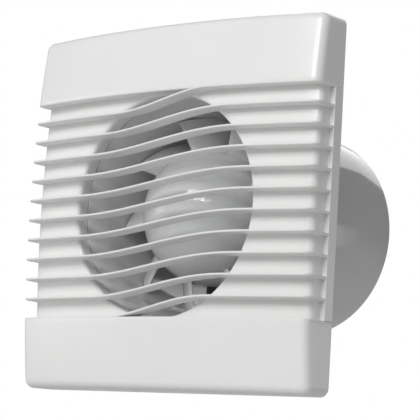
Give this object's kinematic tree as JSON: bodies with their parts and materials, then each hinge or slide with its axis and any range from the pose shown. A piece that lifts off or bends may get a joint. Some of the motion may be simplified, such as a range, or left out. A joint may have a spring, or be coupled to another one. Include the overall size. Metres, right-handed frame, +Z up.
{
  "type": "bathroom extractor fan",
  "caption": "Square wall-mounted extractor fan with a louvred cover, domed axial impeller, shaded-pole motor and round duct spigot.",
  "frame": {"origin": "on the fan's axis, in the plane of the wall, where the duct spigot leaves the base plate", "axes": "+Y along the duct spigot into the wall, +Z up, +X to the right seen from the room"},
  "size_m": [0.164, 0.1206, 0.164],
  "materials": {
    "cover_white": "glossy white ABS",
    "housing_white": "satin white ABS",
    "impeller_grey": "glossy pale grey ABS",
    "steel": "bright zinc-plated steel",
    "core_steel": "stacked electrical steel, oiled",
    "cast_alloy": "as-cast zinc alloy",
    "bronze": "sintered oil-filled bronze",
    "brass": "machined brass",
    "copper": "bare copper",
    "enamel_copper": "enamelled copper wire",
    "nylon_natural": "natural polyamide",
    "fibre_black": "phenolic fibre",
    "rubber_black": "black rubber",
    "rubber_grey": "grey rubber",
    "pvc_leads": "PVC insulation, one brown lead and one blue"
  },
  "bodies": {
    "base": {"back_plate": "housing_white", "duct": "housing_white", "motor_support": "housing_white", "front_bearing": "bronze", "rear_bearing": "bronze", "front_bracket": "cast_alloy", "rear_bracket": "cast_alloy", "stator_core": "core_steel", "shading_rings": "copper", "coil_bobbin": "nylon_natural", "coil_winding": "enamel_copper", "motor_screws": "steel", "motor_nuts": "steel", "rubber_dampers": "rubber_black", "lead_wires": "pvc_leads", "terminal_block": "nylon_natural", "terminal_clamps": "brass", "terminal_screws": "steel", "block_screw": "steel", "cable_clamp": "housing_white", "clamp_screws": "steel", "cable_grommet": "rubber_grey"},
    "rotor": {"impeller": "impeller_grey", "retaining_ring": "steel", "motor_shaft": "steel", "rotor_core": "core_steel", "rotor_end_rings": "cast_alloy", "thrust_washers": "fibre_black"},
    "cover": {"front_cover": "cover_white"}
  },
  "joints": [
    {"name": "impeller_spin", "type": "hinge", "parent": "base", "child": "rotor", "pos_m": [0, 0, 0], "axis": [0, -1, 0], "continuous": true},
    {"name": "cover_release", "type": "slide", "parent": "base", "child": "cover", "axis": [0, -1, 0], "range_m": [0, 0.03]}
  ]
}
